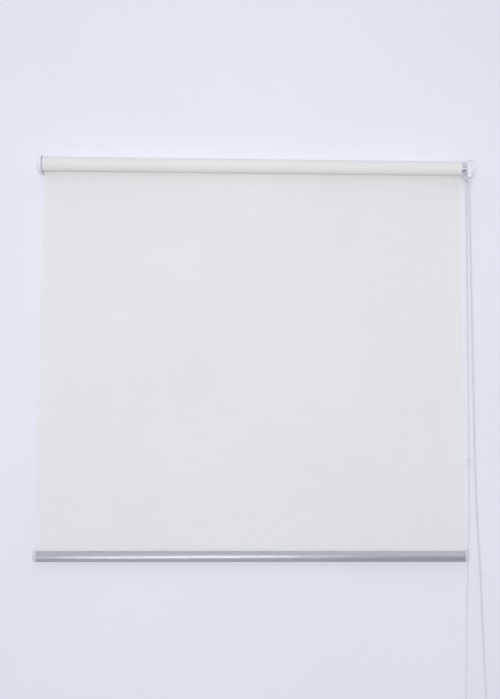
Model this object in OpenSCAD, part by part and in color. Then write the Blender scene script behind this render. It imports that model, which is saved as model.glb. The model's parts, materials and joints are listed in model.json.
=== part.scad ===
// Chain-operated roller blind on two wall brackets, hanging fully lowered.
// Units are millimetres. X runs along the roller, Y points into the wall, Z is up.
// The origin is the centre of the four wall-screw holes, on the face of the wall.
// The roller's axis lies in the plane Z = 0, so every turned part shares that height.

/* [Fabric] */
// Width of the fabric
fabric_w = 1030; // [600:5:1600]
// Thickness of the fabric
fabric_t = 0.42; // [0.3:0.02:0.6]
// Height from the roller axis down to the top of the bottom rail
drop = 938; // [700:1:1200]
// Turns of fabric that stay on the tube when the blind is down
turns_left = 3; // [2:0.5:5]

/* [Roller] */
// Outer diameter of the aluminium tube
tube_d = 32; // [31:0.5:34]
// Wall thickness of the tube
tube_wall = 1.2; // [1:0.1:1.6]
// Bare tube between the fabric and the clutch
bare_tube = 11; // [8:0.5:30]
// Distance from the wall to the roller axis
axis_out = 36; // [34:0.5:60]

/* [Brackets] */
// Thickness of the steel bracket plates
plate_t = 2; // [1.5:0.1:3]
// Radius of the rounded front of a bracket plate
plate_r = 18.7; // [17:0.1:20]
// Width of the flange that lies on the wall
flange_w = 26; // [22:1:40]
// Height between the two screw holes of one bracket
screw_rise = 22; // [16:1:26]
// Diameter of the screw holes
screw_d = 4.5; // [3.5:0.1:5]
// Width of the cover at the idle end
idle_cover_w = 10; // [9:0.5:14]
// Width of the cover at the chain end
chain_cover_w = 11; // [9:0.5:18]

/* [Chain drive] */
// Distance between neighbouring balls of the chain
ball_pitch = 6; // [6:0.1:6.2]
// Diameter of the balls
ball_d = 4.5; // [4:0.1:4.5]
// Number of ball pockets round the chain wheel
pockets = 15; // [14:1:15]
// Width of the chain guard along the roller
guard_w = 11; // [10.5:0.1:13]
// Outer radius of the chain guard and of the bracket covers
guard_r = 20.75; // [20:0.05:23]
// Wall thickness of the moulded parts
wall = 1.5; // [1.2:0.1:1.8]

/* [Bottom rail] */
// Height of the rail
rail_h = 26; // [22:1:34]
// Thickness of the rail at its middle
rail_t = 12; // [11:0.5:14]
// Wall thickness of the rail
rail_wall = 1.3; // [1:0.1:1.5]
// How far the aluminium reaches past the fabric at each side, when the fabric is centred in it
rail_over = 2.5; // [2:0.5:4]
// How far the rail sits off that centre, towards the chain
rail_shift = 2; // [-2:0.5:2]
// Length of each end cap outside the aluminium
cap_len = 8.5; // [5:0.5:9]

/* [Hidden] */
$fn = 96;
slack = 0.05;     // radial clearance of a running fit
cut = 1;          // how far a cutting shape runs past the face that it opens

// Places along X, from the idle end on the left to the chain end on the right
idle_gap = 3.5;   // left bracket plate to the fabric
tube_lip = 1.5;   // tube past the fabric at the idle end
collar_t = 1.2;   // collar of the drive hub, on the end of the tube
play = 0.3;       // hub collar to the chain guard
plate_gap = fabric_w + idle_gap + bare_tube + collar_t + play + guard_w;
x_left = -plate_gap / 2;          // inner face of the left plate
x_right = plate_gap / 2;          // inner face of the right plate
fabric_l = x_left + idle_gap;
fabric_r = fabric_l + fabric_w;
tube_l = fabric_l - tube_lip;
tube_r = fabric_r + bare_tube;
guard_x = x_right - guard_w;      // face of the chain guard next to the roller
core_x = x_right - wall;          // inner face of the clutch core's flange
wheel_w = 7;
wheel_x = (guard_x + wall + core_x) / 2;   // centre plane of the chain wheel
finger_end = tube_r - 30;         // inner end of the wheel's finger
hub_end = tube_r - 42;            // inner end of the drive hub
hub_floor = 4;                    // thickness of the hub's inner wall, which runs on the core
clip_x = hub_end - 1.9;           // retaining clip, just past the hub
clip_t = 0.9;
plug_end = tube_l + 40;           // inner end of the idle plug
chamber_l = tube_l + 5;           // the chamber inside it, for the pin's shoulder and spring
chamber_r = plug_end - 4;

// Radii about the roller axis
tube_in = tube_d / 2 - tube_wall;
plug_r = tube_in - slack;
wound_t = turns_left * fabric_t;
roll_r = tube_d / 2 + wound_t;
core_r = 7;
core_bore_r = 2.5;
lug = 9.8;                        // square lug of the core, in a square hole of the bracket
lug_hole = 10;
pitch_r = ball_pitch * pockets / (2 * PI);
wheel_r = pitch_r + 1.7;
finger_in = 9.4;
finger_out = 10.9;
hub_in = 11.3;
pin_r = 3;
bush_r = 5;
shoulder_r = 5.6;
chamber_rad = 6.2;

// The guard's chin, which the chain leaves through
chin_half = 19;
chin_down = 26;

// The hanging fabric and the rail share one plane, behind the roller
fabric_y = -axis_out + roll_r - fabric_t / 2;
roll_clear = 6;                   // top of the flat fabric below the roller axis
rail_z = -drop - rail_h / 2;      // middle of the rail
rail_l = fabric_l - rail_over + rail_shift;
rail_r = fabric_r + rail_over + rail_shift;
groove_r = 2.6;                   // round groove in the top of the rail
groove_slot = 1.8;                // its mouth, which the fabric passes through
groove_down = 5.5;                // its centre below the top of the rail
spline_r = 2.2;
face_r = 38;                      // radius of the rail's curved front and back

// Middle line of the hanging chain from the front of the wheel, down, and up behind it, seen
// from the wheel's centre. The first and last 750 mm are straight, because the stops run there.
chain_route = [
    [0, -14.3, 0], [2.2, -11.3, -150], [4.4, -8.3, -300], [6.6, -5.3, -450], [8.8, -2.3, -600],
    [11, 0.7, -750], [15.5, 3.2, -870], [20.5, 5.5, -970], [24.5, 7.5, -1070], [28, 9.5, -1170],
    [32, 11, -1260], [33.5, 11.6, -1300], [31.5, 13, -1324], [22.5, 17, -1341], [10, 20, -1347],
    [-2, 23, -1341], [-10.5, 26, -1324], [-12.5, 27.2, -1300], [-11.5, 27.5, -1260],
    [-9, 28, -1170], [-6.5, 28.4, -1070], [-4, 28.4, -970], [0.5, 28.2, -870],
    [1.5, 26.3, -750], [1.2, 23.9, -600], [0.9, 21.5, -450], [0.6, 19.1, -300],
    [0.3, 16.7, -150], [0, 14.3, 0]
];
front_run = chain_route[5] - chain_route[0];
back_run = chain_route[23] - chain_route[28];
stop_down = 33;                   // centre of the lower stop below the wheel's centre
stop_travel = 114 * ball_pitch;   // the wheel turns on by 114 pockets as the blind goes up
stop_len = 10;
connector_len = 13;

// Smooth curve through a list of points, with n steps from each point to the next
function between(a, b, c, d, t) =
    (2 * b + (c - a) * t + (2 * a - 5 * b + 4 * c - d) * t ^ 2 + (3 * b - a - 3 * c + d) * t ^ 3) / 2;
function smooth(p, n) = [
    for (i = [0:len(p) - 2], k = [0:n - 1])
        between(p[max(i - 1, 0)], p[i], p[i + 1], p[min(i + 2, len(p) - 1)], k / n),
    p[len(p) - 1]
];
function unit(v) = v / norm(v);
// Direction of the curve at point i
function heading(p, i) = unit(p[min(i + 1, len(p) - 1)] - p[max(i - 1, 0)]);
// Points of a ring of radius r round point i, starting towards side
function ring(p, i, r, sides, side) =
    let (h = heading(p, i), u = unit(side - (side * h) * h), v = cross(h, u))
    [for (k = [0:sides - 1]) p[i] + r * (cos(360 * k / sides) * u + sin(360 * k / sides) * v)];
// Point on a circle of radius r about the roller axis, at an angle from straight up
function about_axis(x, r, angle) = [x, -axis_out + r * sin(angle), r * cos(angle)];
// Helix about the roller axis from x0 to x1. Where reach is given, both ends bend out to it.
function helix(x0, x1, r, turns, start = 0, reach = 0) = let (steps = 20 * turns) [
    if (reach > 0) about_axis(x0, reach, start),
    for (i = [0:steps]) about_axis(x0 + (x1 - x0) * i / steps, r, start + 18 * i),
    if (reach > 0) about_axis(x1, reach, start)
];

// Round wire or cord of radius r along the points p. The side is a direction that no stretch of
// it runs in, which keeps the rings from twisting.
module swept(p, r, sides, side) {
    n = len(p);
    skin = [
        for (i = [0:n - 2], k = [0:sides - 1])
            let (a = i * sides + k, b = i * sides + (k + 1) % sides)
            each [[a, b + sides, b], [a, a + sides, b + sides]]
    ];
    first_end = [for (k = [0:sides - 1]) k];
    last_end = [for (k = [1:sides]) n * sides - k];
    polyhedron(
        points = [for (i = [0:n - 1]) each ring(p, i, r, sides, side)],
        faces = concat(skin, [first_end, last_end])
    );
}

// A flat shape, drawn in the Y-Z plane, as a slab from x0 to x1
module slab(x0, x1) {
    translate([x0, 0, 0]) rotate([90, 0, 90]) linear_extrude(x1 - x0) children();
}

// Cylinder on the roller axis from x0 to x1
module disc(x0, x1, r) {
    translate([x0, -axis_out, 0]) rotate([0, 90, 0]) cylinder(h = x1 - x0, r = r);
}

// Ring on the roller axis
module collar(x0, x1, r_out, r_in) {
    difference() {
        disc(x0, x1, r_out);
        disc(x0 - cut, x1 + cut, r_in);
    }
}

// Side view of a bracket: round at the front, square at the wall
module bracket_outline(r) {
    translate([-axis_out, 0]) circle(r);
    translate([-axis_out, -r]) square([axis_out, 2 * r]);
}

// Side view of the chain guard: a disc with a chin that the chain leaves through
module guard_outline() {
    translate([-axis_out, 0]) circle(guard_r);
    translate([-axis_out - chin_half, -chin_down]) square([2 * chin_half, chin_down]);
}

// Steel bracket with its plate's inner face at X = 0 and its flange towards +X
module bracket() {
    difference() {
        union() {
            slab(-plate_t, 0) bracket_outline(plate_r);
            translate([-plate_t, -plate_t, -plate_r]) cube([flange_w, plate_t, 2 * plate_r]);
        }
        for (z = [-screw_rise / 2, screw_rise / 2])
            translate([flange_w / 2 - plate_t, cut, z])
                rotate([90, 0, 0]) cylinder(h = plate_t + 2 * cut, d = screw_d);
    }
}

// Moulded cover of width w over a bracket: a domed shell, open to the wall and to the roller.
// It reaches past the inner face of the plate, which is at X = 0.
module bracket_cover(w, reach) {
    dome = 4;                     // how far the outer face is drawn in, and over what width
    lip = 0.4;                    // how far a rib reaches down behind the plate
    face = reach - w;
    difference() {
        hull() {
            slab(face + dome, reach) bracket_outline(guard_r, $fn = 48);
            slab(face, face + 1) bracket_outline(guard_r - dome, $fn = 48);
        }
        hull() {
            slab(face + dome, reach + cut) cover_hollow(guard_r - wall);
            slab(face + wall, face + wall + 1) cover_hollow(guard_r - wall - dome);
        }
    }
    // two ribs that snap behind the steel plate
    for (side = [0, 1]) mirror([0, 0, side])
        translate([-plate_t - 1.2, -axis_out / 2 - 6, plate_r - lip])
            cube([1, 12, guard_r - wall / 2 - plate_r + lip]);
}

module cover_hollow(r) {
    translate([-axis_out, 0]) circle(r, $fn = 48);
    translate([-axis_out, -r]) square([axis_out + cut, 2 * r]);
}

module left_bracket() {
    color("gainsboro") difference() {
        translate([x_left, 0, 0]) bracket();
        disc(x_left - plate_t - cut, x_left + cut, pin_r + slack);
    }
}

module right_bracket() {
    color("gainsboro") difference() {
        translate([x_right, 0, 0]) mirror([1, 0, 0]) bracket();
        translate([x_right - cut, -axis_out - lug_hole / 2, -lug_hole / 2])
            cube([plate_t + 2 * cut, lug_hole, lug_hole]);
    }
}

module left_bracket_cover() {
    color("white") translate([x_left, 0, 0]) bracket_cover(idle_cover_w, idle_gap - 1);
}

module right_bracket_cover() {
    color("white") translate([x_right, 0, 0]) mirror([1, 0, 0]) bracket_cover(chain_cover_w, 0);
}

// Fixed centre of the clutch: a flange on the bracket, a square lug through it, and the shaft
// that the chain wheel, the springs and the hub turn on
module clutch_core() {
    shaft_end = clip_x - 2.1;
    color("whitesmoke") {
        difference() {
            union() {
                slab(core_x, x_right) guard_outline();
                disc(shaft_end, core_x, core_r);
            }
            // groove for the retaining clip
            collar(clip_x - 0.1, clip_x + clip_t + 0.1, core_r + cut, core_r - 1);
            disc(shaft_end - cut, x_right + cut, core_bore_r);
        }
        difference() {
            translate([x_right, -axis_out - lug / 2, -lug / 2]) cube([plate_t, lug, lug]);
            disc(x_right - cut, x_right + plate_t + cut, core_bore_r);
        }
    }
}

// White housing round the chain wheel, with a slot in its chin for each strand of the chain
module chain_guard() {
    slot_w = 6.8;
    color("white") difference() {
        slab(guard_x, core_x) guard_outline();
        disc(guard_x + wall, core_x + cut, guard_r - wall);
        disc(guard_x - cut, guard_x + wall + cut, finger_out + 1);
        for (side = [-1, 1])
            translate([guard_x + wall, -axis_out + side * pitch_r - slot_w / 2, -chin_down - cut])
                cube([core_x - guard_x - wall + cut, slot_w, chin_down]);
    }
}

// Wheel with a pocket for each ball, and a finger round the brake springs
module chain_wheel() {
    wheel_l = wheel_x - wheel_w / 2;
    groove = ball_d / 2 + 0.2;
    color("white") difference() {
        union() {
            disc(wheel_l, wheel_l + wheel_w, wheel_r);
            // the finger is the lower half of a collar
            difference() {
                collar(finger_end, wheel_l, finger_out, finger_in);
                translate([finger_end - cut, -axis_out - hub_in, 0])
                    cube([tube_r - finger_end, 2 * hub_in, hub_in]);
            }
        }
        disc(wheel_l - cut, wheel_l + wheel_w + cut, core_r + slack);
        translate([wheel_x, -axis_out, 0]) rotate([0, 90, 0]) rotate_extrude() {
            translate([pitch_r, 0]) circle(groove);
            translate([pitch_r, -groove]) square([2 * groove, 2 * groove]);
        }
        for (i = [0:pockets - 1])
            translate([wheel_x, -axis_out, 0]) rotate([360 * i / pockets, 0, 0])
                translate([0, pitch_r, 0]) sphere(r = ball_d / 2 + 0.65);
    }
}

// Hub that grips the inside of the tube and is turned by the wheel's finger through the springs
module drive_hub() {
    flutes = 8;
    flute_w = 4;
    flute_deep = 1.6;
    flute_len = 38;
    key_w = 6;                    // key between the two ends of each spring
    color("whitesmoke") {
        difference() {
            union() {
                disc(hub_end, tube_r + 0.1, plug_r);
                disc(tube_r, tube_r + collar_t, tube_d / 2);
            }
            disc(hub_end + hub_floor, tube_r + collar_t + cut, hub_in);
            disc(hub_end - cut, hub_end + hub_floor + cut, core_r + slack);
            for (i = [0:flutes - 1])
                translate([0, -axis_out, 0]) rotate([360 * i / flutes, 0, 0])
                    translate([hub_end - cut, -flute_w / 2, plug_r - flute_deep])
                        cube([flute_len, flute_w, flute_w]);
        }
        intersection() {
            collar(hub_end + hub_floor, tube_r - 5, hub_in + 0.5, finger_in);
            translate([hub_end, -axis_out - key_w / 2, 0])
                cube([tube_r - hub_end, key_w, hub_in + 2]);
        }
    }
}

// Two wrap springs that grip the core until the chain wheel or the hub pushes their bent ends
module brake_springs() {
    wire = 1.2;
    spring_w = 8;
    coil_r = core_r + 0.15 + wire / 2;
    end_angle = 36;               // between the hub's key, at the top, and the wheel's finger
    color("dimgray")
        for (x = [finger_end + 2, finger_end + 14])
            swept(helix(x, x + spring_w, coil_r, 5, end_angle, hub_in - 1), wire / 2, 8, [1, 0, 0]);
}

// Open clip in the core's groove that keeps the hub on the shaft
module retaining_clip() {
    mouth = 6;
    color("silver") difference() {
        collar(clip_x, clip_x + clip_t, core_r + 2, core_r - 0.95);
        translate([clip_x - cut, -axis_out - mouth / 2, -core_r - 3])
            cube([clip_t + 2 * cut, mouth, mouth]);
    }
}

module roller_tube() {
    color("lightgray") collar(tube_l, tube_r, tube_d / 2, tube_in);
}

// Adhesive tape that holds the fabric's inner end on the tube. It is drawn larger by grow on its
// free sides to make room for it in the wound fabric.
module tape_shape(grow) {
    tape_w = 18;
    tape_t = 0.2;
    margin = 5;
    intersection() {
        collar(fabric_l + margin - grow, fabric_r - margin + grow,
            tube_d / 2 + tape_t + grow, tube_d / 2);
        translate([fabric_l, -axis_out - tape_w / 2 - grow, 0])
            cube([fabric_w, tape_w + 2 * grow, tube_d]);
    }
}

module fabric_tape() {
    color("white") tape_shape(0);
}

module fabric_roll() {
    color("seashell") difference() {
        collar(fabric_l, fabric_r, roll_r, tube_d / 2);
        tape_shape(0.05);
    }
}

// Plug in the idle end of the tube, with a chamber for the pin's shoulder and its spring
module idle_plug() {
    color("whitesmoke") difference() {
        union() {
            disc(tube_l - 0.1, plug_end, plug_r);
            disc(tube_l - collar_t, tube_l, tube_d / 2);
        }
        disc(chamber_l, chamber_r, chamber_rad);
        disc(tube_l - collar_t - cut, chamber_l + cut, bush_r);
        disc(chamber_r - cut, plug_end + cut, pin_r + slack);
    }
}

// Bearing bush of the idle end, pressed in the plug
module idle_bush() {
    color("dimgray") collar(tube_l - collar_t, chamber_l, bush_r, pin_r + slack);
}

// Sprung steel pin that drops into the left bracket
module idle_pin() {
    color("silver") {
        disc(x_left - 2 * plate_t, chamber_r + 6, pin_r);
        disc(chamber_l + 0.5, chamber_l + 2.5, shoulder_r);
    }
}

module idle_spring() {
    color("silver")
        swept(helix(chamber_l + 3.1, chamber_r - 0.5, 4.5, 7), 0.45, 8, [1, 0, 0]);
}

// Fabric hanging from the back of the roller into the groove of the rail
module fabric_panel() {
    bottom = -drop - groove_down + spline_r + 0.1;
    color("whitesmoke")
        translate([fabric_l, fabric_y - fabric_t / 2, bottom])
            cube([fabric_w, fabric_t, -roll_clear - bottom]);
}

// Plastic cord that locks the fabric's hem in the groove
module fabric_spline() {
    color("white") translate([fabric_l, fabric_y, -drop - groove_down])
        rotate([0, 90, 0]) cylinder(h = fabric_w, r = spline_r);
}

// Oval section of the rail, shrunk by a wall thickness where inset is more than 0
module rail_oval(inset) {
    half = rail_t / 2;
    intersection() {
        translate([face_r - half, 0]) circle(face_r - inset, $fn = 360);
        translate([half - face_r, 0]) circle(face_r - inset, $fn = 360);
        square([rail_t, rail_h - 2 * inset], center = true);
    }
}

// Hollow extrusion with a round groove for the spline, open at the top for the fabric
module bottom_rail() {
    groove_z = rail_h / 2 - groove_down;
    boss = groove_r + 1.2;
    color("silver") slab(rail_l, rail_r) translate([fabric_y, rail_z])
        difference() {
            rail_oval(0);
            difference() {
                rail_oval(rail_wall);
                translate([0, groove_z]) circle(boss);
                translate([-boss / 2, groove_z]) square([boss, groove_down]);
            }
            translate([0, groove_z]) circle(groove_r);
            translate([-groove_slot / 2, groove_z]) square([groove_slot, groove_down + cut]);
        }
}

// End cap on the rail's end at X = 0, with its nose towards +X and its tongue inside the rail
module rail_cap() {
    nose = 3;
    tongue = [4.6, 12];
    hull() {
        slab(0, cap_len - nose) rail_oval(0, $fn = 32);
        slab(cap_len - 1, cap_len) rail_oval(2);
    }
    slab(-14, 0) translate([0, -3]) square(tongue, center = true);
}

module rail_cap_left() {
    color("white") translate([rail_l, fabric_y, rail_z]) mirror([1, 0, 0]) rail_cap();
}

module rail_cap_right() {
    color("white") translate([rail_r, fabric_y, rail_z]) rail_cap();
}

// Shapes drawn from the chain wheel's centre
module at_wheel() {
    translate([wheel_x, -axis_out, 0]) children();
}

// Hanging loop of the chain, as a cord of the balls' diameter
module bead_chain() {
    color("white") at_wheel() swept(smooth(chain_route, 2), ball_d / 2, 8, [0, 1, 0]);
}

// The half turn of chain that lies in the wheel
module chain_on_wheel() {
    color("white") at_wheel() rotate([90, 0, 90])
        rotate_extrude(angle = 180) translate([pitch_r, 0]) circle(ball_d / 2);
}

// Turned shape centred on a straight run of the chain, down it from its top by a height
module on_strand(top, run, down) {
    at = top + run * (down / -run[2]);
    tilt = acos(-run[2] / norm(run));
    at_wheel() translate(at)
        rotate([0, 0, atan2(-run[1], -run[0])]) rotate([0, tilt, 0]) children();
}

// Barrel with round shoulders that clips over the balls
module bead_clip(len, r) {
    difference() {
        intersection() {
            sphere(r = len / 2 + 0.6);
            cylinder(h = len, r = r, center = true);
        }
        cylinder(h = len + 2 * cut, r = ball_d / 2 + 0.35, center = true);
    }
}

module lower_chain_stop() {
    color("white") on_strand(chain_route[0], front_run, stop_down) bead_clip(stop_len, 4.6);
}

module upper_chain_stop() {
    color("white") on_strand(chain_route[28], back_run, stop_down + stop_travel)
        bead_clip(stop_len, 4.6);
}

module chain_connector() {
    gap = (stop_len + connector_len) / 2 + 1;
    color("white") on_strand(chain_route[28], back_run, stop_down + stop_travel + gap)
        bead_clip(connector_len, 3.4);
}

left_bracket();
right_bracket();
left_bracket_cover();
right_bracket_cover();
clutch_core();
chain_guard();
chain_wheel();
drive_hub();
brake_springs();
retaining_clip();
roller_tube();
fabric_tape();
fabric_roll();
idle_plug();
idle_bush();
idle_pin();
idle_spring();
fabric_panel();
fabric_spline();
bottom_rail();
rail_cap_left();
rail_cap_right();
bead_chain();
chain_on_wheel();
lower_chain_stop();
upper_chain_stop();
chain_connector();
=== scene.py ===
"""Chain-operated roller blind: the looks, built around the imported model.

Everything is in metres, in the part's own frame: X along the roller, Y into the wall, Z up.
"""
import json
import math

import bmesh
import bpy
from mathutils import Matrix, Vector

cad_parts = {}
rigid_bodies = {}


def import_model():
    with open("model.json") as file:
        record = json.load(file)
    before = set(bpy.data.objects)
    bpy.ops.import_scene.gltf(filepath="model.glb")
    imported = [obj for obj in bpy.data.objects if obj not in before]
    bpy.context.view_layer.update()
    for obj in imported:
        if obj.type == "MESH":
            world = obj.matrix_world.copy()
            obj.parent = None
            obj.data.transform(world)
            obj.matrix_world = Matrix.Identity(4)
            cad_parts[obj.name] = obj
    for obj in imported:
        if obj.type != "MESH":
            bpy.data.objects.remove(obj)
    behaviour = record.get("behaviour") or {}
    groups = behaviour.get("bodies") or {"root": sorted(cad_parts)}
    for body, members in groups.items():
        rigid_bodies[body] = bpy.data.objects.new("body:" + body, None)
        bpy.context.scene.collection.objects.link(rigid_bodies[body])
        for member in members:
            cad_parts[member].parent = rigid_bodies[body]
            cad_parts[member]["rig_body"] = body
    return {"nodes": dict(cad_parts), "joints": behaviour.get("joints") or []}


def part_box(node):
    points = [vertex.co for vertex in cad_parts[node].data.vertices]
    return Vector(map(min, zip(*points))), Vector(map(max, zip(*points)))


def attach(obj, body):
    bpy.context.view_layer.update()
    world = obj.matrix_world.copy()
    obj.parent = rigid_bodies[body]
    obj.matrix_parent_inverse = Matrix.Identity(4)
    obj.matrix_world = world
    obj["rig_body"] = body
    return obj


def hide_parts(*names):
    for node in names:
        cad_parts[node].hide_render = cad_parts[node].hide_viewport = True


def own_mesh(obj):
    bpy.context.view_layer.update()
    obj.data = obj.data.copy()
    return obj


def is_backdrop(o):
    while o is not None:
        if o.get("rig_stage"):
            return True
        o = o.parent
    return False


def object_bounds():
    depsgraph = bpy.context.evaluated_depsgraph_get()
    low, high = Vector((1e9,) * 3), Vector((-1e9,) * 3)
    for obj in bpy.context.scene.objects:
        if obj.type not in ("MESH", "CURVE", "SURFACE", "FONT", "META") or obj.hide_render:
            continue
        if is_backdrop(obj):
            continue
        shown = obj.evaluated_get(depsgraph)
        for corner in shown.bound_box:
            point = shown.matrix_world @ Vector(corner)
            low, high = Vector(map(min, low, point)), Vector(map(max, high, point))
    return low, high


MM = 0.001
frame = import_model()
cad_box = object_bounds()
nodes = frame["nodes"]
joints = {joint["name"]: joint for joint in frame["joints"]}
wheel = Vector(joints["chain_wheel_turn"]["pos_m"])
axis_y = joints["roller_turn"]["pos_m"][1]


# ---------------------------------------------------------------- camera


def add_camera(place, yaw, pitch, roll):
    """A 50 mm camera at a place, turned by degrees right, up and anticlockwise from looking along +Y."""
    data = bpy.data.cameras.new("camera")
    data.lens = 50
    data.sensor_width = 36
    camera = bpy.data.objects.new("camera", data)
    bpy.context.collection.objects.link(camera)
    turn = Matrix.Rotation(math.radians(-yaw), 4, "Z")
    turn = turn @ Matrix.Rotation(math.radians(90 + pitch), 4, "X")
    turn = turn @ Matrix.Rotation(math.radians(roll), 4, "Z")
    camera.matrix_world = Matrix.Translation(place) @ turn
    bpy.context.scene.camera = camera


add_camera(place=(-0.087, -2.388, -0.618), yaw=1.74, pitch=4.03, roll=0.23)


# ---------------------------------------------------------------- shaders


def add_node(tree, kind, settings=None, **inputs):
    """Adds a shader node. An input is a value or another node's output socket."""
    node = tree.nodes.new(kind)
    for name, value in (settings or {}).items():
        setattr(node, name, value)
    for name, value in inputs.items():
        socket = node.inputs[int(name[1:])] if name[0] == "_" else node.inputs[name.replace("_", " ")]
        if isinstance(value, bpy.types.NodeSocket):
            tree.links.new(value, socket)
        else:
            socket.default_value = value
    return node


def calculate(tree, operation, first, second=0.0):
    """The output of a Math node."""
    return add_node(tree, "ShaderNodeMath", {"operation": operation}, _0=first, _1=second).outputs[0]


def new_material(name, color, roughness, metallic=0.0, **fixed):
    """A material with a Principled shader, and its tree and shader node."""
    material = bpy.data.materials.new(name)
    material.use_nodes = True
    material.diffuse_color = (*color, 1)
    tree = material.node_tree
    shader = tree.nodes["Principled BSDF"]
    shader.inputs["Base Color"].default_value = (*color, 1)
    shader.inputs["Roughness"].default_value = roughness
    shader.inputs["Metallic"].default_value = metallic
    for socket, value in fixed.items():
        shader.inputs[socket.replace("_", " ")].default_value = value
    return material, tree, shader


def stretched(tree, scale):
    """Coordinates scaled by a vector, so that a noise on them is drawn out where the scale is small."""
    place = add_node(tree, "ShaderNodeTexCoord").outputs["Object"]
    return add_node(tree, "ShaderNodeMapping", Vector=place, Scale=scale).outputs["Vector"]


def noise(tree, vector, scale, detail=2.0):
    """A noise between 0 and 1, most of it from 0.3 to 0.7."""
    node = add_node(tree, "ShaderNodeTexNoise", Vector=vector, Scale=scale, Detail=detail)
    return node.outputs["Fac"]


def spread(tree, value, low, high):
    """The noise values from 0.3 to 0.7, spread over low to high."""
    ends = {"From_Min": 0.3, "From_Max": 0.7, "To_Min": low, "To_Max": high}
    return add_node(tree, "ShaderNodeMapRange", Value=value, **ends).outputs[0]


def tint(tree, shader, color, shade):
    """Multiplies the base colour by a shade socket."""
    mixed = add_node(tree, "ShaderNodeVectorMath", {"operation": "SCALE"}, _0=color, Scale=shade)
    tree.links.new(mixed.outputs[0], shader.inputs["Base Color"])


def bump(tree, shader, height, distance, below=None):
    """Adds relief of a given height in metres, on top of the relief below it."""
    node = add_node(tree, "ShaderNodeBump", Height=height, Distance=distance, Strength=1.0)
    if below:
        tree.links.new(below, node.inputs["Normal"])
    tree.links.new(node.outputs["Normal"], shader.inputs["Normal"])
    return node.outputs["Normal"]


def multiply(tree, *factors):
    """The product of two or more sockets or numbers."""
    product = factors[0]
    for factor in factors[1:]:
        product = calculate(tree, "MULTIPLY", product, factor)
    return product


def plain_weave(tree, across, thread):
    """The height of a plain weave, from two lengths across the cloth and the threads' spacing."""
    waves = [calculate(tree, "SINE", multiply(tree, length, math.pi / thread)) for length in across]
    over = multiply(tree, *waves)
    under = multiply(tree, over, -1)
    ridges = [calculate(tree, "SUBTRACT", 1, multiply(tree, wave, wave)) for wave in waves]
    warp = calculate(tree, "ADD", ridges[0], over)
    weft = calculate(tree, "ADD", ridges[1], under)
    return calculate(tree, "MAXIMUM", warp, weft)


THREAD = 0.55 * MM
# How fast the slubs' noise changes per metre across and along the cloth: slow along its threads.
WEFT_SLUBS = (12, 900, 1)
WARP_SLUBS = (700, 9, 1)


def woven_cloth(name, color, light_through):
    """Plain weave of fine threads, with slubs both ways, a soft cloudiness and painted shade between
    threads.
    """
    material, tree, shader = new_material(
        name,
        color,
        0.88,
        Sheen_Weight=0.12,
        Sheen_Roughness=0.5,
        Specular_IOR_Level=0.25,
        Subsurface_Weight=light_through,
        Subsurface_Scale=0.8 * MM,
        Subsurface_Radius=(1.0, 0.95, 0.9),
    )
    flat = add_node(tree, "ShaderNodeUVMap", {"uv_map": "cut"}).outputs["UV"]
    across = add_node(tree, "ShaderNodeSeparateXYZ", Vector=flat).outputs
    weave = plain_weave(tree, (across["X"], across["Y"]), THREAD)
    drawn = [
        add_node(tree, "ShaderNodeMapping", Vector=flat, Scale=scale).outputs["Vector"]
        for scale in (WEFT_SLUBS, WARP_SLUBS)
    ]
    slubs = [noise(tree, vector, 1.0, 3.0) for vector in drawn]
    cloud = noise(tree, flat, 3.2, 3.0)
    # The hollows between the threads are painted up to 4 % darker, as painted shade in the weave. The
    # slubs and the cloudiness are the cloth's own uneven tone.
    shade = multiply(
        tree,
        spread(tree, slubs[0], 0.975, 1.02),
        spread(tree, slubs[1], 0.985, 1.01),
        spread(tree, cloud, 0.985, 1.01),
        spread(tree, weave, 0.96, 1.0),
    )
    tint(tree, shader, color, shade)
    relief = bump(tree, shader, slubs[0], 0.10 * MM)
    bump(tree, shader, weave, 0.06 * MM, relief)
    return material


def moulded_plastic(name, color, roughness=0.42, speckle=0.03 * MM):
    """Injection-moulded plastic: a fine spark-eroded texture and slightly uneven gloss."""
    material, tree, shader = new_material(name, color, roughness, Specular_IOR_Level=0.5)
    place = stretched(tree, (1, 1, 1))
    rough = spread(tree, noise(tree, place, 60.0, 4.0), roughness - 0.06, roughness + 0.08)
    tree.links.new(rough, shader.inputs["Roughness"])
    tint(tree, shader, color, spread(tree, noise(tree, place, 25.0, 3.0), 0.975, 1.01))
    bump(tree, shader, noise(tree, place, 1500.0, 2.0), speckle)
    return material


def drawn_metal(name, color, roughness, along=(3, 900, 900), groove=0.01 * MM):
    """Metal with fine lines along the direction in which the noise is drawn out."""
    material, tree, shader = new_material(name, color, roughness, metallic=1.0)
    lines = noise(tree, stretched(tree, along), 1.0, 4.0)
    patches = noise(tree, stretched(tree, (4, 30, 30)), 1.0, 3.0)
    rough = calculate(
        tree,
        "ADD",
        spread(tree, lines, roughness - 0.05, roughness + 0.06),
        spread(tree, patches, -0.02, 0.03),
    )
    tree.links.new(rough, shader.inputs["Roughness"])
    tint(tree, shader, color, spread(tree, lines, 0.95, 1.03))
    bump(tree, shader, lines, groove)
    return material


def powder_coat(name, color):
    """Baked paint on steel, with a slight orange peel."""
    material, tree, shader = new_material(name, color, 0.38, Coat_Weight=0.15, Coat_Roughness=0.3)
    place = stretched(tree, (1, 1, 1))
    tint(tree, shader, color, spread(tree, noise(tree, place, 40.0, 3.0), 0.97, 1.01))
    bump(tree, shader, noise(tree, place, 420.0, 2.0), 0.05 * MM)
    return material
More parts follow.
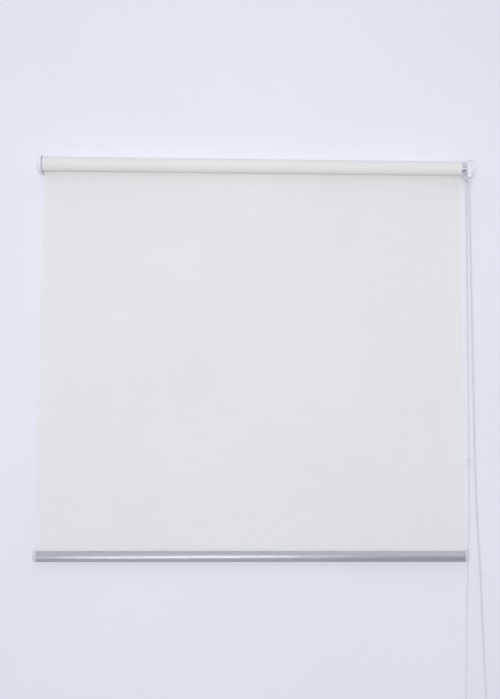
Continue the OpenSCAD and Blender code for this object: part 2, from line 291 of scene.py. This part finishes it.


# The room's light is slightly blue, so these are the surfaces' own colours under neutral light.
# The roll's warmer ivory is not its own colour: it is the same fabric, painted warmer to stand for
# the tone that light takes in the layered roll.
IVORY = (0.765, 0.748, 0.710)
IVORY_PAINTED_WARMER_ON_ROLL = (0.80, 0.772, 0.700)
WHITE = (0.80, 0.80, 0.80)
cloth = woven_cloth("woven_blind_fabric", IVORY, light_through=0.5)
# The wound fabric gets the warmer ivory: painted light for the tone of the layered roll.
wound = woven_cloth("wound_blind_fabric", IVORY_PAINTED_WARMER_ON_ROLL, light_through=0.0)
white_plastic = moulded_plastic("white_plastic", WHITE)
cap_plastic = moulded_plastic("end_cap_plastic", (0.63, 0.63, 0.635), roughness=0.5)
clutch_plastic = moulded_plastic("acetal_plastic", (0.76, 0.76, 0.74), roughness=0.36)
chain_plastic = moulded_plastic("chain_plastic", (0.745, 0.745, 0.75), roughness=0.28, speckle=0.008 * MM)
spline_plastic = moulded_plastic("spline_plastic", (0.78, 0.78, 0.77), roughness=0.5)
bush_nylon = moulded_plastic("dark_nylon", (0.035, 0.035, 0.04), roughness=0.5)
tape_film = moulded_plastic("adhesive_tape", (0.80, 0.79, 0.74), roughness=0.3)
anodised = drawn_metal("anodised_aluminium", (0.64, 0.64, 0.645), 0.27, (2, 2600, 2600), 0.0008 * MM)
bare_aluminium = drawn_metal("bare_aluminium", (0.74, 0.74, 0.75), 0.14)
spring_wire = drawn_metal("spring_wire", (0.30, 0.30, 0.31), 0.34, along=(700, 700, 700))
turned_steel = drawn_metal("turned_steel", (0.62, 0.61, 0.60), 0.22, along=(2500, 20, 20))
painted_steel = powder_coat("painted_steel", (0.74, 0.74, 0.73))


# ---------------------------------------------------------------- mesh building


def new_piece(name, vertices, faces, material, body, slot, stands_for=(), sharp=30):
    """A mesh object that rides on a body. Edges sharper than the given angle in degrees stay crisp."""
    mesh = bpy.data.meshes.new(name)
    mesh.from_pydata([tuple(v) for v in vertices], [], faces)
    build = bmesh.new()
    build.from_mesh(mesh)
    bmesh.ops.remove_doubles(build, verts=build.verts, dist=1e-6)
    bmesh.ops.recalc_face_normals(build, faces=build.faces)
    build.to_mesh(mesh)
    build.free()
    return finish_piece(name, mesh, material, body, slot, stands_for, sharp)


def finish_piece(name, mesh, material, body, slot, stands_for=(), sharp=30):
    """Turns a mesh into a piece that rides on a body and may stand for CAD nodes."""
    mesh.materials.clear()
    mesh.materials.append(material)
    mesh.shade_smooth()
    mesh.set_sharp_from_angle(angle=math.radians(sharp))
    piece = bpy.data.objects.new(name, mesh)
    bpy.context.collection.objects.link(piece)
    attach(piece, body)
    if stands_for:
        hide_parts(*stands_for)
    return piece


def grid_faces(rows, columns, first=0):
    """Quads between the points of a grid that are listed row by row."""
    return [
        (a, a + 1, a + columns + 1, a + columns)
        for row in range(rows - 1)
        for a in range(first + row * columns, first + (row + 1) * columns - 1)
    ]


def bevel(piece, width, segments=3):
    """Rounds the piece's edges."""
    modifier = piece.modifiers.new("rounded edges", "BEVEL")
    modifier.width = width
    modifier.segments = segments
    modifier.limit_method = "ANGLE"
    modifier.angle_limit = math.radians(35)
    modifier.harden_normals = True
    return piece


def rounded_copy(node, name, material, width, slot):
    """A copy of a CAD node with its edges rounded, which stands for that node."""
    mesh = nodes[node].data.copy()
    mesh.name = name
    build = bmesh.new()
    build.from_mesh(mesh)
    bmesh.ops.remove_doubles(build, verts=build.verts, dist=1e-6)
    bmesh.ops.dissolve_limit(
        build, angle_limit=math.radians(1), verts=build.verts, edges=build.edges, delimit={"SHARP"}
    )
    build.to_mesh(mesh)
    build.free()
    while mesh.attributes.get("custom_normal"):
        mesh.attributes.remove(mesh.attributes["custom_normal"])
    piece = finish_piece(name, mesh, material, nodes[node]["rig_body"], slot, [node], sharp=40)
    return bevel(piece, width)


def smooth_curve(points, steps):
    """A Catmull-Rom curve through a list of points, with so many steps between neighbours."""
    curve = []
    last = len(points) - 1
    for i in range(last):
        a, b, c, d = (points[min(max(k, 0), last)] for k in (i - 1, i, i + 1, i + 2))
        slope = c - a
        bend = a * 2 - b * 5 + c * 4 - d
        twist = b * 3 - a - c * 3 + d
        for k in range(steps):
            t = k / steps
            curve.append((b * 2 + slope * t + bend * t**2 + twist * t**3) / 2)
    return curve + [points[last]]


def tube_along(points, radius, sides, side):
    """Vertices and faces of a round tube along points. No stretch of it may run along side."""
    vertices = []
    for i, point in enumerate(points):
        heading = (points[min(i + 1, len(points) - 1)] - points[max(i - 1, 0)]).normalized()
        u = (side - heading * side.dot(heading)).normalized()
        v = heading.cross(u)
        for k in range(sides):
            angle = 2 * math.pi * k / sides
            vertices.append(point + (u * math.cos(angle) + v * math.sin(angle)) * radius)
    faces = []
    for i in range(len(points) - 1):
        for k in range(sides):
            a, b = i * sides + k, i * sides + (k + 1) % sides
            faces.append((a, b, b + sides, a + sides))
    faces.append(tuple(reversed(range(sides))))
    faces.append(tuple(range(len(vertices) - sides, len(vertices))))
    return vertices, faces


def about_axis(x, radius, angle):
    """Point at a distance from the roller axis, at an angle in radians from straight up towards +Y."""
    return Vector((x, axis_y + radius * math.sin(angle), radius * math.cos(angle)))


# ---------------------------------------------------------------- ball chain

# Middle line of the hanging chain from the front of the wheel, down, and up behind it, in
# millimetres from the wheel's centre.
CHAIN_ROUTE = [
    (0, -14.3, 0), (2.2, -11.3, -150), (4.4, -8.3, -300), (6.6, -5.3, -450), (8.8, -2.3, -600),
    (11, 0.7, -750), (15.5, 3.2, -870), (20.5, 5.5, -970), (24.5, 7.5, -1070), (28, 9.5, -1170),
    (32, 11, -1260), (33.5, 11.6, -1300), (31.5, 13, -1324), (22.5, 17, -1341), (10, 20, -1347),
    (-2, 23, -1341), (-10.5, 26, -1324), (-12.5, 27.2, -1300), (-11.5, 27.5, -1260),
    (-9, 28, -1170), (-6.5, 28.4, -1070), (-4, 28.4, -970), (0.5, 28.2, -870),
    (1.5, 26.3, -750), (1.2, 23.9, -600), (0.9, 21.5, -450), (0.6, 19.1, -300),
    (0.3, 16.7, -150), (0, 14.3, 0),
]
BALL = 4.5 * MM
STRING = 1.1 * MM
BALL_PITCH = 6 * MM
POCKETS = 15


def at_distances(points, distances):
    """Points at given distances along a line, in rising order."""
    found = []
    walked = 0.0
    i = 0
    for distance in distances:
        step = (points[i + 1] - points[i]).length
        while walked + step < distance and i < len(points) - 2:
            walked += step
            i += 1
            step = (points[i + 1] - points[i]).length
        found.append(points[i].lerp(points[i + 1], min((distance - walked) / step, 1)))
    return found


def length_of(points):
    """The length of a line through points."""
    return sum((b - a).length for a, b in zip(points, points[1:]))


def add_ball(vertices, faces, centre, radius, rings=8, sides=12):
    """A sphere of quads and triangles."""
    first = len(vertices)
    vertices.append(centre + Vector((0, 0, radius)))
    for ring in range(1, rings):
        tilt = math.pi * ring / rings
        for k in range(sides):
            turn = 2 * math.pi * k / sides
            offset = (math.sin(tilt) * math.cos(turn), math.sin(tilt) * math.sin(turn), math.cos(tilt))
            vertices.append(centre + Vector(offset) * radius)
    vertices.append(centre - Vector((0, 0, radius)))
    last = len(vertices) - 1
    for k in range(sides):
        following = (k + 1) % sides
        faces.append((first, first + 1 + k, first + 1 + following))
        faces.append((last, last - sides + following, last - sides + k))
        for ring in range(rings - 2):
            a = first + 1 + ring * sides
            faces.append((a + k, a + sides + k, a + sides + following, a + following))


def chain_piece(name, line, balls, node, side):
    """Balls on a string: the string follows the line, and a ball is at each of the given places."""
    vertices, faces = tube_along(line, STRING / 2, 6, side)
    for place in balls:
        add_ball(vertices, faces, place, BALL / 2)
    mesh = bpy.data.meshes.new(name)
    mesh.from_pydata([tuple(v) for v in vertices], [], faces)
    return finish_piece(name, mesh, chain_plastic, "root", "chain_plastic", [node], sharp=60)


def hang_chain():
    """The hanging loop. It leaves the wheel half a pitch after a ball, and ends a pitch before one."""
    route = [wheel + Vector(point) * MM for point in CHAIN_ROUTE]
    line = smooth_curve(route, 12)
    total = length_of(line)
    first_ball = BALL_PITCH / 2
    count = round((total - first_ball) / BALL_PITCH)
    pitch = (total - first_ball) / count
    balls = at_distances(line, [first_ball + pitch * i for i in range(count)])
    chain = chain_piece("ball_chain_loop", line, balls, "bead_chain", Vector((0, 1, 0)))
    guard_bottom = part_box("chain_guard")[0].z
    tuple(at_distances(line, [-guard_bottom])[0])


def chain_round_wheel():
    """The half turn of chain that lies in the wheel's pockets."""
    radius = BALL_PITCH * POCKETS / (2 * math.pi)

    def on_wheel(angle):
        return wheel + Vector((0, math.cos(angle), math.sin(angle))) * radius

    line = [on_wheel(math.pi * i / 48) for i in range(49)]
    balls = [on_wheel(2 * math.pi * i / POCKETS) for i in range(POCKETS // 2 + 1)]
    chain_piece("ball_chain_on_wheel", line, balls, "chain_on_wheel", Vector((1, 0, 0)))


hang_chain()
chain_round_wheel()


# ---------------------------------------------------------------- fabric

CLOTH_THICKNESS = 0.4 * MM
CLOTH_GAP = 0.4 * MM     # between the roll and the hanging sheet, which move apart
TAPE_GAP = 0.25 * MM     # between the tube and the innermost turn
TURNS_WOUND = 3


def cloth_piece(name, width, length, columns, rows, place, material, body, stands_for):
    """A sheet of cloth. place(s, t) says where the point s across and t along the flat cut lies."""
    vertices = []
    cut = []
    for row in range(rows + 1):
        for column in range(columns + 1):
            s, t = width * column / columns, length * row / rows
            vertices.append(place(s, t))
            cut.append((s, t))
    mesh = bpy.data.meshes.new(name)
    mesh.from_pydata([tuple(v) for v in vertices], [], grid_faces(rows + 1, columns + 1))
    uv = mesh.uv_layers.new(name="cut")
    for loop in mesh.loops:
        uv.data[loop.index].uv = cut[loop.vertex_index]
    piece = finish_piece(name, mesh, material, body, "blind_fabric", stands_for, sharp=180)
    thicken = piece.modifiers.new("thickness", "SOLIDIFY")
    thicken.thickness = CLOTH_THICKNESS
    thicken.offset = 0
    piece.modifiers.new("crisp edges", "WEIGHTED_NORMAL").weight = 100
    return piece


def fade(distance, reach):
    """One at an edge, falling off over a reach."""
    return math.exp(-distance / reach)


def hump(share, middle, half_width):
    """A smooth hump of height one."""
    return math.exp(-(((share - middle) / half_width) ** 2))


def hang_cloth():
    """The hanging fabric: straight at the roller and the rail, and slightly wavy between them."""
    low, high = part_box("fabric_panel")
    roll_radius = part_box("fabric_roll")[1].z
    middle_y = (low.y + high.y) / 2
    # Its top edge touches the underside of the roll, but for a small gap.
    behind_axis = low.y - axis_y
    top = -math.sqrt(roll_radius**2 - behind_axis**2) - CLOTH_GAP
    width, length = high.x - low.x, top - low.z

    def place(s, t):
        share = t / length
        free = math.sin(math.pi * share) ** 0.8 if 0 < share < 1 else 0.0
        turns = 2 * math.pi * s / width
        # Slow waves, and edges that curl towards the room.
        wave = 0.55 * math.sin(1.7 * turns + 0.6 + 0.9 * share) + 0.35 * math.sin(3.9 * turns + 2.1)
        curl = 1.1 * (fade(s, 0.03) + fade(width - s, 0.03))
        # The left edge is drawn in at the top and bows out low down, and the right edge bows out.
        tuck = 3.2 * fade(s, 0.25) * hump(share, 0, 0.12)
        left_bow = 2.4 * fade(s, 0.25) * hump(share, 0.72, 0.2)
        right_bow = 0.8 * fade(width - s, 0.25) * hump(share, 0.3, 0.3)
        x = low.x + s + (right_bow + tuck - left_bow) * MM
        y = middle_y + (wave - curl) * free * MM
        return Vector((x, y, top - t))

    piece = cloth_piece(
        "hanging_fabric", width, length, 120, 110, place, cloth, "hem", ["fabric_panel"]
    )
    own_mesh(piece)


def wind_cloth():
    """The fabric on the tube, as one long spiral whose outer end is at the back."""
    low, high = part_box("fabric_roll")
    tube_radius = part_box("roller_tube")[1].z
    outer = high.z - CLOTH_THICKNESS / 2
    inner = tube_radius + TAPE_GAP + CLOTH_THICKNESS / 2
    middle = (outer + inner) / 2
    length = 2 * math.pi * TURNS_WOUND * middle
    width = high.x - low.x

    def place(s, t):
        share = t / length
        radius = outer + (inner - outer) * share
        wander = 0.25 * math.sin(5 * share) * MM
        angle = math.pi / 2 - 2 * math.pi * TURNS_WOUND * share
        return about_axis(low.x + s + wander, radius, angle)

    piece = cloth_piece(
        "fabric_roll_wound", width, length, 48, 96 * TURNS_WOUND, place, wound, "roller", ["fabric_roll"]
    )


wind_cloth()
hang_cloth()


# ---------------------------------------------------------------- bracket covers

COVER_WALL = 1.5 * MM
DOME = 4 * MM


def cover_ring(radius, x, steps=36):
    """Side view of a cover at one depth: from the wall over the top, round the front and back."""
    straight = [axis_y * k / 4 for k in range(4)]
    ring = [Vector((x, y, radius)) for y in straight]
    for k in range(steps + 1):
        angle = math.pi * (0.5 + k / steps)
        ring.append(Vector((x, axis_y + radius * math.cos(angle), radius * math.sin(angle))))
    return ring + [Vector((x, y, -radius)) for y in reversed(straight)]


def dome_rings(radius, x_open, width, rounding):
    """Rings from the open side to the closed face, drawn in to the middle line."""
    out = math.copysign(1, width)
    depth = abs(width) - rounding
    rings = [cover_ring(radius, x_open), cover_ring(radius, x_open + out * depth * 0.5)]
    for k in range(9):
        angle = math.pi / 2 * k / 8
        inset = DOME * (1 - math.cos(angle))
        rings.append(cover_ring(radius - inset, x_open + out * (depth + rounding * math.sin(angle))))
    for share in (0.7, 0.35, 0.0):
        rings.append(cover_ring((radius - DOME) * share, x_open + width))
    return rings


def add_cover(node, name, x_open, x_closed):
    """A domed shell that is open to the roller and to the wall."""
    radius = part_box(node)[1].z
    width = x_closed - x_open
    outer = dome_rings(radius, x_open, width, DOME)
    inner_width = width - math.copysign(COVER_WALL, width)
    inner = dome_rings(radius - COVER_WALL, x_open, inner_width, DOME - COVER_WALL)
    rows, columns = len(outer), len(outer[0])
    vertices = [v for ring in outer + inner for v in ring]
    start = rows * columns
    faces = grid_faces(rows, columns) + grid_faces(rows, columns, start)
    for k in range(columns - 1):
        faces.append((k, k + 1, start + k + 1, start + k))
    for row in range(rows - 1):
        for k in (0, columns - 1):
            a, b = row * columns + k, (row + 1) * columns + k
            faces.append((a, b, start + b, start + a))
    piece = new_piece(name, vertices, faces, white_plastic, "root", "white_plastic", [node])
    bevel(piece, 0.35 * MM, 2)


left_cover, right_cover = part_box("left_bracket_cover"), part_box("right_bracket_cover")
add_cover("left_bracket_cover", "left_cover_shell", left_cover[1].x, left_cover[0].x)
add_cover("right_bracket_cover", "right_cover_shell", right_cover[0].x, right_cover[1].x)


# ---------------------------------------------------------------- springs


def helix(x0, x1, radius, turns, start=0.0):
    """Points along a coil about the roller axis, from x0 to x1."""
    steps = 36 * turns
    return [
        about_axis(x0 + (x1 - x0) * i / steps, radius, start + 2 * math.pi * turns * i / steps)
        for i in range(steps + 1)
    ]


def spring_piece(name, node, lines, wire):
    """Springs of round wire along lines, in one piece that turns with the roller."""
    vertices, faces = [], []
    for line in lines:
        new_vertices, new_faces = tube_along(line, wire / 2, 10, Vector((1, 0, 0)))
        faces += [tuple(i + len(vertices) for i in face) for face in new_faces]
        vertices += new_vertices
    return new_piece(name, vertices, faces, spring_wire, "roller", "spring_steel", [node], sharp=50)


def add_idle_spring():
    """The spring behind the idle pin, drawn at its length in the model. In the blind it shortens as the
    pin is pressed in.
    """
    wire = 0.9 * MM
    low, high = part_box("idle_spring")
    line = helix(low.x + wire / 2, high.x - wire / 2, high.z - wire / 2, turns=7)
    spring = spring_piece("idle_coil_spring", "idle_spring", [line], wire)
    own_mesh(spring)


def add_brake_springs():
    """Two wrap springs on the clutch core, each with both its ends bent outwards."""
    wire = 1.2 * MM
    span = 8 * MM
    radius = 7.75 * MM
    tang = 10.3 * MM
    start = math.radians(36)
    low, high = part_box("brake_springs")
    lines = []
    for x in (low.x + wire / 2, high.x - wire / 2 - span):
        coil = helix(x, x + span, radius, turns=5, start=start)
        lines.append([about_axis(x, tang, start), *coil, about_axis(x + span, tang, start)])
    spring_piece("wrap_springs", "brake_springs", lines, wire)


add_idle_spring()
add_brake_springs()


# ---------------------------------------------------------------- other parts

# CAD nodes that are shown with rounded edges: node, piece, material, rounding in millimetres, slot.
ROUNDED = [
    ("left_bracket", "left_bracket_plate", painted_steel, 0.35, "painted_steel"),
    ("right_bracket", "right_bracket_plate", painted_steel, 0.35, "painted_steel"),
    ("chain_guard", "chain_guard_housing", white_plastic, 0.5, "white_plastic"),
    ("clutch_core", "clutch_core_shaft", clutch_plastic, 0.2, "clutch_plastic"),
    ("drive_hub", "drive_hub_insert", clutch_plastic, 0.2, "clutch_plastic"),
    ("idle_plug", "idle_plug_insert", clutch_plastic, 0.2, "clutch_plastic"),
    ("retaining_clip", "retaining_clip_ring", spring_wire, 0.12, "spring_steel"),
    ("bottom_rail", "bottom_rail_extrusion", anodised, 0.3, "anodised_aluminium"),
    ("rail_cap_left", "left_rail_end", cap_plastic, 0.8, "white_plastic"),
    ("rail_cap_right", "right_rail_end", cap_plastic, 0.8, "white_plastic"),
]
for node, name, material, width, slot in ROUNDED:
    rounded_copy(node, name, material, width * MM, slot)

# CAD nodes that are shown as they are.
KEPT = {
    "chain_wheel": clutch_plastic,
    "roller_tube": bare_aluminium,
    "fabric_tape": tape_film,
    "idle_bush": bush_nylon,
    "idle_pin": turned_steel,
    "fabric_spline": spline_plastic,
    "lower_chain_stop": chain_plastic,
    "upper_chain_stop": chain_plastic,
    "chain_connector": chain_plastic,
}
for node, material in KEPT.items():
    nodes[node].data.materials.clear()
    nodes[node].data.materials.append(material)


# ---------------------------------------------------------------- stage

LIGHT_TINT = (0.955, 1.0, 1.105)


def add_plane(name, corners, material):
    mesh = bpy.data.meshes.new(name)
    mesh.from_pydata(corners, [], [(0, 1, 2, 3)])
    mesh.materials.append(material)
    plane = bpy.data.objects.new(name, mesh)
    bpy.context.collection.objects.link(plane)
    plane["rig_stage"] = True


def one_sided(material, lights_behind=False):
    """Makes a stage surface clear from behind, and to the lights if some stand behind it."""
    tree = material.node_tree
    shader = tree.nodes["Principled BSDF"]
    clear = add_node(tree, "ShaderNodeNewGeometry").outputs["Backfacing"]
    if lights_behind:
        lit = add_node(tree, "ShaderNodeLightPath").outputs["Is Shadow Ray"]
        clear = calculate(tree, "MAXIMUM", clear, lit)
    glass = add_node(tree, "ShaderNodeBsdfTransparent")
    mixed = add_node(tree, "ShaderNodeMixShader", _0=clear, _1=shader.outputs[0], _2=glass.outputs[0])
    tree.links.new(mixed.outputs[0], tree.nodes["Material Output"].inputs["Surface"])


def add_light(name, place, target, size, power, glossy=True, diffuse=True, lean=0):
    """A soft rectangular light. It can be left out of reflections or out of the lighting.

    It leans by an angle in degrees, which raises its end at the right.
    """
    data = bpy.data.lights.new(name, "AREA")
    data.shape = "RECTANGLE"
    data.size, data.size_y = size
    data.energy = power
    data.color = tuple(c / max(LIGHT_TINT) for c in LIGHT_TINT)
    light = bpy.data.objects.new(name, data)
    bpy.context.collection.objects.link(light)
    light.location = place
    heading = Vector(target) - Vector(place)
    turn = heading.to_track_quat("-Z", "Y").to_matrix() @ Matrix.Rotation(math.radians(lean), 3, "Z")
    light.rotation_euler = turn.to_euler()
    light.visible_glossy = glossy
    light.visible_diffuse = diffuse


def set_stage():
    paint, tree, shader = new_material("wall_paint", (0.80, 0.80, 0.80), 0.85)
    patches = noise(tree, stretched(tree, (1, 1, 1)), 2.2, 4.0)
    tint(tree, shader, (0.80, 0.80, 0.80), spread(tree, patches, 0.985, 1.012))
    bump(tree, shader, noise(tree, stretched(tree, (1, 1, 1)), 160.0, 3.0), 0.15 * MM)
    one_sided(paint, lights_behind=True)
    back = 0.5 * MM
    add_plane("wall", [(-4, back, -2), (4, back, -2), (4, back, 2.5), (-4, back, 2.5)], paint)
    ground = new_material("floor_paint", (0.50, 0.475, 0.487), 0.8)[0]
    one_sided(ground)
    add_plane("floor", [(-4, -5, -2), (4, -5, -2), (4, 4, -2), (-4, 4, -2)], ground)

    world = bpy.data.worlds.new("room")
    bpy.context.scene.world = world
    world.use_nodes = True
    tree = world.node_tree
    background = tree.nodes["Background"]
    background.inputs["Color"].default_value = (*LIGHT_TINT, 1)
    heading = add_node(tree, "ShaderNodeTexCoord").outputs["Generated"]
    height = add_node(tree, "ShaderNodeSeparateXYZ", Vector=heading).outputs["Z"]
    glow = add_node(
        tree,
        "ShaderNodeMapRange",
        Value=height,
        From_Min=-1.0,
        From_Max=1.0,
        To_Min=0.4,
        To_Max=0.82,
    )
    tree.links.new(glow.outputs[0], background.inputs["Strength"])
    add_light("front", (-0.13, -3.0, -0.65), (-0.13, 0, 1.0), (0.45, 0.6), 44.8, glossy=False)
    add_light("fill", (0.1, -3.2, -1.2), (0, 0, -0.2), (1.4, 0.6), 2.4, glossy=False)
    add_light("strip", (-0.24, -2.5, -1.42), (0, 0, -0.95), (1.2, 0.26), 4.1, diffuse=False, lean=22)
    add_light("glint", (1.13, -2.5, -0.6), (0.5, 0, 0), (0.12, 0.35), 0.3, diffuse=False)
    add_light("behind_left", (-1.6, 2.2, 0.9), (0, 0, -0.5), (1.6, 1.6), 30)
    add_light("behind_right", (1.6, 2.2, 0.2), (0, 0, -0.5), (1.6, 1.6), 20)
    bpy.context.scene.view_settings.view_transform = "Standard"


set_stage()

boxes = {"cad": cad_box, "visual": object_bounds()}
{name: [list(corner) for corner in box] for name, box in boxes.items()}
